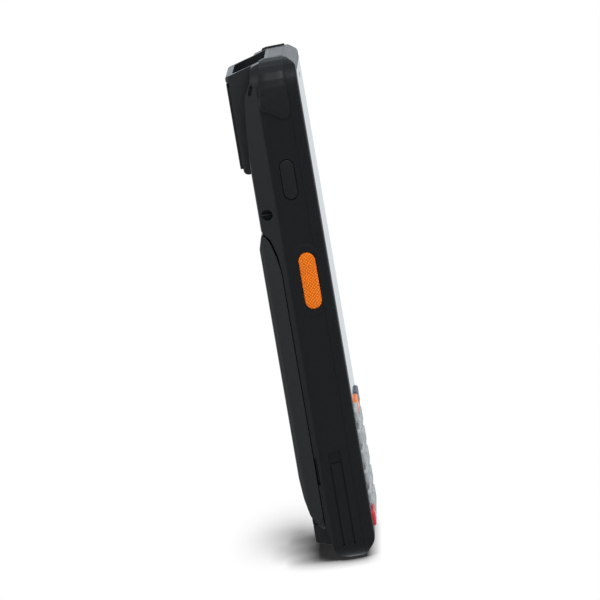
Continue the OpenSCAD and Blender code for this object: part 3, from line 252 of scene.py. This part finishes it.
def contact_light(tree, rays):
    """Painted shade: 1 on the open floor, and less for the camera where the case stands close."""
    corner = tree.nodes.new("ShaderNodeAmbientOcclusion")
    corner.inputs["Distance"].default_value = CONTACT_REACH
    painted_dim = mapped(tree, corner.outputs["AO"], PAINTED_CONTACT_DARK, 1, WALL_FOOT_OCCLUSION, 1)
    beside = mapped(tree, object_axis(tree, "Y"), 0, 1, *CONTACT_FROM_Y)
    light = tree.nodes.new("ShaderNodeMix")
    light.inputs["A"].default_value = 1.0
    link(tree, painted_dim, light.inputs["B"])
    link(tree, combined(tree, "MULTIPLY", beside, rays.outputs["Is Camera Ray"]), light.inputs["Factor"])
    return light.outputs["Result"]


def floor_white():
    """Pale floor that keeps the object's shadow, with painted shade beside the case, and turns to plain
    white round it.
    """
    made, tree, shader = new_material("floor_white")
    rays = tree.nodes.new("ShaderNodeLightPath")
    light = contact_light(tree, rays)
    # Painted shade: the floor's colour is darkened for the camera beside the case
    link(tree, tinted(tree, light, (0, 0, 0), scaled(WHITE, FLOOR_PALE)), shader.inputs["Base Color"])
    shader.inputs["Roughness"].default_value = 1.0
    shader.inputs["Specular IOR Level"].default_value = 0.0
    white = tree.nodes.new("ShaderNodeEmission")
    tint = tinted(tree, rays.outputs["Is Camera Ray"], FLOOR_MIRRORED, WHITE)
    link(tree, tint, white.inputs["Color"])
    # Painted shade: the white glow is dimmed beside the case as well
    link(tree, light, white.inputs["Strength"])
    shadow = tree.nodes.new("ShaderNodeMapping")
    shadow.vector_type = "TEXTURE"
    shadow.inputs["Location"].default_value = SHADOW_CENTRE
    shadow.inputs["Scale"].default_value = SHADOW_SHAPE
    link(tree, object_place(tree), shadow.inputs["Vector"])
    away = tree.nodes.new("ShaderNodeVectorMath")
    away.operation = "LENGTH"
    link(tree, shadow.outputs["Vector"], away.inputs[0])
    fade = mapped(tree, away.outputs["Value"], 0, 1, *SHADOW_FADE)
    fade.node.interpolation_type = "SMOOTHSTEP"
    shown = combined(tree, "MAXIMUM", rays.outputs["Is Camera Ray"], rays.outputs["Is Glossy Ray"])
    blend = tree.nodes.new("ShaderNodeMixShader")
    link(tree, combined(tree, "MULTIPLY", fade, shown), blend.inputs["Fac"])
    link(tree, shader.outputs["BSDF"], blend.inputs[1])
    link(tree, white.outputs["Emission"], blend.inputs[2])
    link(tree, blend.outputs["Shader"], tree.nodes["Material Output"].inputs["Surface"])
    return made


def add_floor():
    """A plain pale floor."""
    mesh = bpy.data.meshes.new("floor")
    corners = [(-1, -1), (1, -1), (1, 1), (-1, 1)]
    mesh.from_pydata([(x * FLOOR_REACH, y * FLOOR_REACH, 0) for x, y in corners], [], [(0, 1, 2, 3)])
    mesh.materials.append(floor_white())
    new_object("floor", mesh)


# ---------------------------------------------------------------- materials

# Blotches, smears, marks and tracks are counted in a metre
COLOUR_BLOTCHES = 60
SHEEN_BLOTCHES = 400
SHEEN_SPREAD = 0.03
GRAIN_DEPTH = 0.006 * MM
GRAIN_DETAIL = 2.5
GRAIN_ROUGHNESS = 0.6

# The knurl's colour carries painted shade in its valleys and a painted highlight at its tips
KNURL_PITCH = 1.1 * MM
KNURL_RELIEF = 0.05 * MM
KNURL_HIGHLIGHT_POWER = 1.6

METAL_MARKS = 2500
METAL_MARK_DEPTH = 0.002 * MM
METAL_MARK_SHADE = 0.85
METAL_SMOOTHER = 0.05
METAL_ROUGHER = 0.08

SMEARS = 90
SMEAR_SHADE = 0.8
GLASS_ROUGHNESS = (0.03, 0.06)
TOUCH_GLASS_ROUGHNESS = (0.025, 0.06)
GLASS_BORDER = (0.004, 0.004, 0.005)
GLASS_OVER_DISPLAY = (0.014, 0.016, 0.02)
DISPLAY_MARGIN = 1.2 * MM
PRINT_BLUR = 0.05 * MM

TRACKS = 300
TRACK_GREEN = (0.05, 0.22, 0.12, 1)
MASK_GREEN = (0.02, 0.13, 0.07, 1)
MASK_DARK_GREEN = (0.015, 0.1, 0.055, 1)
TRACK_DEPTH = 0.02 * MM


def uneven_sheen(tree, shader, roughness):
    """Roughness that varies a little over the surface."""
    blotches = noise(tree, SHEEN_BLOTCHES, 3)
    sheen = mapped(tree, blotches, roughness - SHEEN_SPREAD, roughness + SHEEN_SPREAD)
    link(tree, sheen, shader.inputs["Roughness"])


def moulded(name, colour, roughness, specular, grain_mm=0.22, variation=0.08):
    """Moulded plastic or rubber: spark-eroded grain, faint blotches in its colour and in its sheen."""
    made, tree, shader = new_material(name)
    shader.inputs["Specular IOR Level"].default_value = specular
    blotches = mapped(tree, noise(tree, COLOUR_BLOTCHES, 3), 0, 1)
    mottled = tinted(tree, blotches, scaled(colour, 1 - variation), scaled(colour, 1 + variation))
    link(tree, mottled, shader.inputs["Base Color"])
    uneven_sheen(tree, shader, roughness)
    grain = noise(tree, 1 / (grain_mm * MM), GRAIN_DETAIL, GRAIN_ROUGHNESS)
    bumped(tree, shader, grain, GRAIN_DEPTH)
    return made


def knurled(name, colour, highlight_colour, roughness, specular):
    """Moulded plastic with small pyramids in a diamond pattern, with painted shade in the valleys and a
    painted highlight at their tips.
    """
    made, tree, shader = new_material(name)
    shader.inputs["Specular IOR Level"].default_value = specular
    uneven_sheen(tree, shader, roughness)
    half_pitch = KNURL_PITCH / 2
    across, along = object_axis(tree, "Y"), object_axis(tree, "Z")
    waves = [combined(tree, "PINGPONG", combined(tree, way, across, along), half_pitch)
             for way in ("ADD", "SUBTRACT")]
    height = mapped(tree, combined(tree, "MINIMUM", *waves), 0, 1, 0, half_pitch)
    painted_highlight_share = combined(tree, "POWER", height, KNURL_HIGHLIGHT_POWER)
    # Painted shade in the valleys and a painted highlight at the tips, by the pyramids' height
    link(tree, tinted(tree, painted_highlight_share, colour, highlight_colour), shader.inputs["Base Color"])
    bumped(tree, shader, height, KNURL_RELIEF)
    return made


def metal(name, colour, roughness, stretch=(1, 1, 1)):
    """Machined or plated metal, with fine marks drawn out along one way."""
    made, tree, shader = new_material(name)
    shader.inputs["Metallic"].default_value = 1.0
    drawn = tree.nodes.new("ShaderNodeMapping")
    drawn.inputs["Scale"].default_value = stretch
    link(tree, object_place(tree), drawn.inputs["Vector"])
    marks = noise(tree, METAL_MARKS, 3, place=drawn.outputs["Vector"])
    marked = tinted(tree, mapped(tree, marks, 0, 1), scaled(colour, METAL_MARK_SHADE), colour)
    link(tree, marked, shader.inputs["Base Color"])
    sheen = mapped(tree, marks, roughness - METAL_SMOOTHER, roughness + METAL_ROUGHER)
    link(tree, sheen, shader.inputs["Roughness"])
    bumped(tree, shader, marks, METAL_MARK_DEPTH)
    return made


def polished(name, colour):
    """Polished dark glass with a trace of uneven wiping."""
    made, tree, shader = new_material(name)
    shader.inputs["Specular IOR Level"].default_value = 0.5
    smears = noise(tree, SMEARS, 4)
    wiped = tinted(tree, mapped(tree, smears, 0, 1), scaled(colour, SMEAR_SHADE), colour)
    link(tree, wiped, shader.inputs["Base Color"])
    link(tree, mapped(tree, smears, *GLASS_ROUGHNESS), shader.inputs["Roughness"])
    return made


def inside(tree, low, high, soft):
    """1 inside a box drawn in X and Z, 0 outside it, with a soft edge."""
    within = []
    for axis, start, end in (("X", low[0], high[0]), ("Z", low[1], high[1])):
        offset = combined(tree, "SUBTRACT", object_axis(tree, axis), (start + end) / 2)
        away = combined(tree, "ABSOLUTE", offset)
        half = (end - start) / 2
        within.append(mapped(tree, away, 1, 0, half - soft, half))
    return combined(tree, "MULTIPLY", *within)


def cover_glass():
    """The touch glass: a black printed border round the switched-off display."""
    made, tree, shader = new_material("cover_glass")
    low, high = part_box("display_panel")
    active = inside(tree, (low.x + DISPLAY_MARGIN, low.z + DISPLAY_MARGIN),
                    (high.x - DISPLAY_MARGIN, high.z - DISPLAY_MARGIN), PRINT_BLUR)
    link(tree, tinted(tree, active, GLASS_BORDER, GLASS_OVER_DISPLAY), shader.inputs["Base Color"])
    link(tree, mapped(tree, noise(tree, SMEARS, 4), *TOUCH_GLASS_ROUGHNESS), shader.inputs["Roughness"])
    shader.inputs["Specular IOR Level"].default_value = 0.5
    return made


def solder_mask():
    """Circuit board: green solder mask with faint tracks under it."""
    made, tree, shader = new_material("circuit_board")
    tracks = tree.nodes.new("ShaderNodeTexBrick")
    tracks.inputs["Scale"].default_value = TRACKS
    tracks.inputs["Color1"].default_value = MASK_GREEN
    tracks.inputs["Color2"].default_value = MASK_DARK_GREEN
    tracks.inputs["Mortar"].default_value = TRACK_GREEN
    tracks.inputs["Mortar Size"].default_value = 0.03
    upright = tree.nodes.new("ShaderNodeMapping")
    upright.inputs["Rotation"].default_value = (math.pi / 2, 0, 0)
    link(tree, object_place(tree), upright.inputs["Vector"])
    link(tree, upright.outputs["Vector"], tracks.inputs["Vector"])
    link(tree, tracks.outputs["Color"], shader.inputs["Base Color"])
    shader.inputs["Roughness"].default_value = 0.35
    bumped(tree, shader, tracks.outputs["Fac"], TRACK_DEPTH, 0.5)
    return made


CASE_BLACK = (0.0042, 0.0048, 0.0055)
# The knurl's colour in its valleys, with painted shade, and its painted highlight at the tips
ORANGE = (0.55, 0.1, 0.002)
ORANGE_PAINTED_HIGHLIGHT = (0.98, 0.28, 0.02)

# One material for each slot of the record, by the slot's name
MATERIALS = {
    "case_plastic": moulded("case_plastic", CASE_BLACK, 0.34, 0.145),
    "head_plastic": moulded("head_plastic", (0.0095, 0.0105, 0.0118), 0.34, 0.24),
    "cover_plastic": moulded("cover_plastic", (0.008, 0.009, 0.0098), 0.3, 0.22),
    "battery_plastic": moulded("battery_plastic", (0.0068, 0.0082, 0.0094), 0.36, 0.17),
    "button_plastic": moulded("button_plastic", (0.0055, 0.006, 0.0066), 0.3, 0.17, grain_mm=0.15),
    "bumper_rubber": moulded("bumper_rubber", CASE_BLACK, 0.36, 0.18, grain_mm=0.16),
    "seal_rubber": moulded("seal_rubber", (0.014, 0.014, 0.015), 0.7, 0.2, grain_mm=0.1),
    "midframe_metal": metal("midframe_metal", (0.5, 0.51, 0.53), 0.42),
    "cover_glass": cover_glass(),
    "display_panel": moulded("display_panel", (0.2, 0.2, 0.215), 0.35, 0.4),
    "mesh_metal": metal("mesh_metal", (0.3, 0.3, 0.31), 0.28),
    "black_parts": moulded("black_parts", (0.02, 0.02, 0.022), 0.5, 0.3),
    "circuit_board": solder_mask(),
    "steel": metal("steel", (0.5, 0.5, 0.52), 0.3, (1, 0.2, 1)),
    "dark_steel": metal("dark_steel", (0.022, 0.023, 0.025), 0.45),
    "gold": metal("gold", (0.83, 0.6, 0.24), 0.22),
    "brass": metal("brass", (0.7, 0.52, 0.26), 0.3),
    "window_glass": polished("window_glass", (0.05, 0.004, 0.006)),
    "camera_glass": polished("camera_glass", (0.006, 0.006, 0.012)),
    "orange_plastic": knurled("orange_plastic", ORANGE, ORANGE_PAINTED_HIGHLIGHT, 0.3, 0.16),
    "orange_key": moulded("orange_key", (0.68, 0.15, 0.01), 0.42, 0.35, grain_mm=0.12, variation=0.03),
    "key_plastic": moulded("key_plastic", (0.3, 0.32, 0.33), 0.42, 0.35, grain_mm=0.12, variation=0.02),
    "navy_key": moulded("navy_key", (0.02, 0.026, 0.055), 0.42, 0.35, grain_mm=0.12),
    "red_key": moulded("red_key", (0.5, 0.025, 0.04), 0.42, 0.35, grain_mm=0.12, variation=0.03),
    "cell_metal": metal("cell_metal", (0.55, 0.56, 0.58), 0.3, (0.1, 1, 1)),
}
LEGEND_DARK = moulded("legend_dark", (0.02, 0.022, 0.03), 0.4, 0.3)
LEGEND_WHITE = moulded("legend_white", (0.8, 0.8, 0.8), 0.4, 0.3)


def dress_cad_nodes():
    """Every CAD node that stays in view takes its slot's material."""
    for name, node in NODES.items():
        for place in node.material_slots:
            place.material = MATERIALS[SLOT_OF[name]]


TOUCHING = 0.001 * MM


def merge_touching(mesh, fix_normals=False):
    """Joins the points of a mesh that lie on each other."""
    cleaned = bmesh.new()
    cleaned.from_mesh(mesh)
    bmesh.ops.remove_doubles(cleaned, verts=cleaned.verts, dist=TOUCHING)
    if fix_normals:
        bmesh.ops.recalc_face_normals(cleaned, faces=cleaned.faces)
    cleaned.to_mesh(mesh)
    cleaned.free()


def attach(piece, node, material=None):
    """A piece rides with a CAD node and takes its slot's material, or the one given."""
    piece.data.materials.clear()
    piece.data.materials.append(material or MATERIALS[SLOT_OF[node]])
    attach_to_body(piece, NODES[node]["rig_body"])


# ---------------------------------------------------------------- softened mouldings

# Width in mm of the rounded edges of each moulding; the bumpers have none and swell instead
EDGE_MM = {
    "rear_housing": 0.25, "front_housing": 0.25, "corner_bumpers": None, "scan_head_housing": 0.25,
    "scan_head_cover": 0.15, "lock_block": 0.25, "lock_slider": 0.12, "battery_case": 0.3,
    "touch_glass": 0.12,
}
KEY_EDGE_MM = 0.12
EDGE_SEGMENTS = 2
CREASE_ANGLE = math.radians(30)
MERGE_DISTANCE = 0.003 * MM
FLAT_ANGLE = math.radians(0.6)
SMOOTH_DEGREES = 34

# The bumpers' bulge rises over its reach from a crease, on faces whose normals point out to the side
BULGE_MESH = 0.8 * MM
BULGE_RISE = 0.4 * MM
BULGE_REACH = 2.4 * MM
BULGE_SUBDIVISIONS = 7
BULGE_FORWARD_LIMIT = 0.6
BULGE_OUTWARD_FROM = 0.2


def settle(piece):
    """Turns a piece's modifiers into plain mesh."""
    bpy.context.view_layer.update()
    graph = bpy.context.evaluated_depsgraph_get()
    final = bpy.data.meshes.new_from_object(piece.evaluated_get(graph))
    piece.modifiers.clear()
    piece.data = final


def shade(piece, degrees):
    """Smooth shading with true creases above an angle."""
    mesh = piece.data
    mesh.polygons.foreach_set("use_smooth", [True] * len(mesh.polygons))
    mesh.set_sharp_from_angle(angle=math.radians(degrees))


def swell(mesh):
    """Pushes the bumpers' outer faces out into a soft bulge that starts at their creases."""
    for _ in range(BULGE_SUBDIVISIONS):
        bmesh.ops.triangulate(mesh, faces=mesh.faces)
        long_edges = [edge for edge in mesh.edges if edge.calc_length() > BULGE_MESH]
        if not long_edges:
            break
        bmesh.ops.subdivide_edges(mesh, edges=long_edges, cuts=1)
    mesh.normal_update()
    creases = [edge for edge in mesh.edges if edge.calc_face_angle(0) > CREASE_ANGLE]
    rim = {vert for edge in creases for vert in edge.verts}
    nearest = KDTree(len(rim))
    for index, vert in enumerate(rim):
        nearest.insert(vert.co, index)
    nearest.balance()
    moves = []
    for vert in mesh.verts:
        outward = vert.normal.x * (1 if vert.co.x > 0 else -1)
        faces_side = abs(vert.normal.y) < BULGE_FORWARD_LIMIT and outward > BULGE_OUTWARD_FROM
        if vert not in rim and faces_side:
            share = min(nearest.find(vert.co)[2] / BULGE_REACH, 1)
            rise = BULGE_RISE * (1 - (1 - share) ** 2) * outward ** 2
            moves.append((vert, vert.normal * rise))
    for vert, move in moves:
        vert.co += move


def soften(node, edge_mm):
    """A finer moulding in place of a CAD node: its creases are rounded, or with no width it swells."""
    mesh = NODES[node].data.copy()
    cleaned = bmesh.new()
    cleaned.from_mesh(mesh)
    bmesh.ops.remove_doubles(cleaned, verts=cleaned.verts, dist=MERGE_DISTANCE)
    bmesh.ops.dissolve_limit(cleaned, angle_limit=FLAT_ANGLE, verts=cleaned.verts, edges=cleaned.edges)
    if edge_mm is None:
        swell(cleaned)
    cleaned.to_mesh(mesh)
    cleaned.free()
    piece = new_object(node + "_moulding", mesh)
    if edge_mm is not None:
        bevel = piece.modifiers.new("rounded_edges", "BEVEL")
        bevel.width = edge_mm * MM
        bevel.segments = EDGE_SEGMENTS
        bevel.limit_method = "ANGLE"
        bevel.angle_limit = CREASE_ANGLE
        bevel.miter_outer = "MITER_ARC"
        bevel.use_clamp_overlap = True
        settle(piece)
    shade(piece, SMOOTH_DEGREES)
    weighted = piece.modifiers.new("even_shading", "WEIGHTED_NORMAL")
    weighted.keep_sharp = True
    settle(piece)
    attach(piece, node)
    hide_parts(node)


# ---------------------------------------------------------------- triggers and side buttons

FLANGE_MM = 0.6
LIP_MM = 0.7
TRIGGER_EDGE_MM = 0.5
TRIGGER_CROWN_MM = 0.15
BUTTON_EDGE_MM = 0.35
BUTTON_CROWN_MM = 0.1
STADIUM_END_STEPS = 40
STADIUM_SIDE_STEPS = 96
EDGE_STEPS = 6
CROWN_STEPS = 18
CAP_SMOOTH_DEGREES = 40


def stadium(length, width, inset):
    """Points of a slot-shaped outline in Y and Z, moved inwards, as (across, along)."""
    radius = width / 2
    straight = length / 2 - radius
    ring_radius = max(radius - inset, 0)
    points = []
    for turn in (0, 1):
        way = 1 - 2 * turn
        for i in range(STADIUM_END_STEPS):
            angle = math.pi * (i / STADIUM_END_STEPS + turn)
            points.append((ring_radius * math.cos(angle),
                           way * straight + ring_radius * math.sin(angle)))
        for i in range(STADIUM_SIDE_STEPS):
            points.append((-way * ring_radius, way * straight * (1 - 2 * i / STADIUM_SIDE_STEPS)))
    return points


def cap_profile(width, height, edge_mm, crown_mm):
    """Insets and heights in mm from the flange's foot over the rounded edge to the crowned middle."""
    profile = [(-LIP_MM, 0), (-LIP_MM, FLANGE_MM), (0, FLANGE_MM)]
    for i in range(EDGE_STEPS + 1):
        angle = math.pi / 2 * i / EDGE_STEPS
        inset = edge_mm * (1 - math.cos(angle))
        profile.append((inset, height - crown_mm - edge_mm * (1 - math.sin(angle))))
    for i in range(1, CROWN_STEPS + 1):
        share = i / CROWN_STEPS
        inset = edge_mm + (width / 2 - edge_mm) * share
        profile.append((inset, height - crown_mm * (1 - share) ** 2))
    return profile


def side_cap(node, edge_mm, crown_mm):
    """A trigger or button: its flange and its round-edged, slightly crowned cap."""
    low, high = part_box(node)
    centre = (low + high) / 2
    side = 1 if high.x > 0 else -1
    base = min(abs(low.x), abs(high.x))
    length = (high.z - low.z) / MM - 2 * LIP_MM
    width = (high.y - low.y) / MM - 2 * LIP_MM
    profile = cap_profile(width, (high.x - low.x) / MM, edge_mm, crown_mm)
    verts = [(side * (base + rise * MM), centre.y + across * MM, centre.z + along * MM)
             for inset, rise in profile for across, along in stadium(length, width, inset)]
    count = 2 * (STADIUM_END_STEPS + STADIUM_SIDE_STEPS)
    faces = [tuple(range(count))]
    for start in range(0, (len(profile) - 1) * count, count):
        for i in range(count):
            j = (i + 1) % count
            faces.append((start + i, start + j, start + count + j, start + count + i))
    mesh = bpy.data.meshes.new(node + "_cap")
    mesh.from_pydata(verts, [], faces)
    merge_touching(mesh, fix_normals=True)
    piece = new_object(node + "_cap", mesh)
    shade(piece, CAP_SMOOTH_DEGREES)
    attach(piece, node)
    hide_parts(node)


# ---------------------------------------------------------------- legends on the keys

LEGEND_RISE = 0.02 * MM
LEGEND_LETTER = 3.4 * MM


def flat_shape(name, outlines, node, material):
    """Thin printed shapes on a key's face, from outlines in millimetres about the key's centre."""
    low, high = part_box(node)
    centre = (low + high) / 2
    made = bmesh.new()
    for outline in outlines:
        places = [(centre.x + x * MM, centre.z + z * MM) for x, z in outline]
        front = [made.verts.new((x, low.y - LEGEND_RISE, z)) for x, z in places]
        back = [made.verts.new((x, low.y + LEGEND_RISE, z)) for x, z in places]
        made.faces.new(front)
        made.faces.new(back[::-1])
        for i in range(len(front)):
            j = (i + 1) % len(front)
            made.faces.new((front[j], front[i], back[i], back[j]))
    bmesh.ops.recalc_face_normals(made, faces=made.faces)
    mesh = bpy.data.meshes.new(name)
    made.to_mesh(mesh)
    made.free()
    attach(new_object(name, mesh), node, material)


def letter(node, sign):
    """A digit or sign printed dark on a key's face."""
    data = bpy.data.curves.new(node + "_sign", "FONT")
    data.body = sign
    data.size = LEGEND_LETTER
    data.align_x = "CENTER"
    data.align_y = "CENTER"
    data.extrude = LEGEND_RISE
    shape = new_object(node + "_sign", data)
    bpy.context.view_layer.update()
    mesh = bpy.data.meshes.new_from_object(shape)
    bpy.data.objects.remove(shape)
    mesh.transform(Matrix.Rotation(math.pi / 2, 4, "X"))
    xs = [vert.co.x for vert in mesh.vertices]
    zs = [vert.co.z for vert in mesh.vertices]
    low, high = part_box(node)
    centre = (low + high) / 2
    mesh.transform(Matrix.Translation((centre.x - (min(xs) + max(xs)) / 2, low.y,
                                       centre.z - (min(zs) + max(zs)) / 2)))
    merge_touching(mesh)
    attach(new_object(node + "_legend", mesh), node, LEGEND_DARK)


def bar(x, z, width, height):
    """Corners of a small upright rectangle about a point."""
    left, right = x - width / 2, x + width / 2
    bottom, top = z - height / 2, z + height / 2
    return [(left, bottom), (right, bottom), (right, top), (left, top)]


def arc_band(inner, outer, start, end, steps=20):
    """Corners of a bent band between two radii and two angles in degrees."""
    angles = [math.radians(start + (end - start) * i / steps) for i in range(steps + 1)]
    out = [(outer * math.cos(a), outer * math.sin(a)) for a in angles]
    back = [(inner * math.cos(a), inner * math.sin(a)) for a in reversed(angles)]
    return out + back


def print_legends():
    """Numbers on the number keys and plain signs on the others."""
    for digit in range(10):
        letter(f"key_{digit}", str(digit))
    letter("key_star", "*")
    letter("key_hash", "#")
    flat_shape("menu_sign", [bar(0, z, 3.2, 0.45) for z in (-0.9, 0, 0.9)], "key_menu", LEGEND_DARK)
    flat_shape("back_sign", [[(-1.6, 0), (0.8, -1.3), (0.8, 1.3)]], "key_back", LEGEND_WHITE)
    bars = [(-2.2, 0.3), (-1.5, 0.6), (-0.7, 0.3), (0, 0.3), (0.6, 0.6), (1.4, 0.3), (2.1, 0.5)]
    flat_shape("scan_sign", [bar(x, 0, width, 2.4) for x, width in bars], "key_scan", LEGEND_WHITE)
    ring = arc_band(1.05, 1.4, 130, 410)
    flat_shape("power_sign", [ring, bar(0, 1, 0.38, 1.4)], "key_power", LEGEND_WHITE)
    flat_shape("function_sign", [arc_band(0.01, 0.75, 0, 359)], "key_function", LEGEND_DARK)
    hook = [(-1.8, -0.5), (-0.6, -1.5), (-0.6, -0.75), (1.8, -0.75), (1.8, 1.3), (1.25, 1.3),
            (1.25, -0.25), (-0.6, -0.25), (-0.6, 0.5)]
    flat_shape("enter_sign", [hook], "key_enter", LEGEND_DARK)


# ---------------------------------------------------------------- build

add_camera()
add_world()
add_floor()
for lamp_row in LAMPS:
    add_lamp(*lamp_row)
bpy.context.scene.view_settings.view_transform = "Standard"

dress_cad_nodes()
for node_name, width_mm in EDGE_MM.items():
    soften(node_name, width_mm)
for node_name in NODES:
    if node_name.startswith("key_") and node_name != "key_domes":
        soften(node_name, KEY_EDGE_MM)
for node_name in ("left_trigger", "right_trigger"):
    side_cap(node_name, TRIGGER_EDGE_MM, TRIGGER_CROWN_MM)
for node_name in ("left_button", "right_button"):
    side_cap(node_name, BUTTON_EDGE_MM, BUTTON_CROWN_MM)
print_legends()
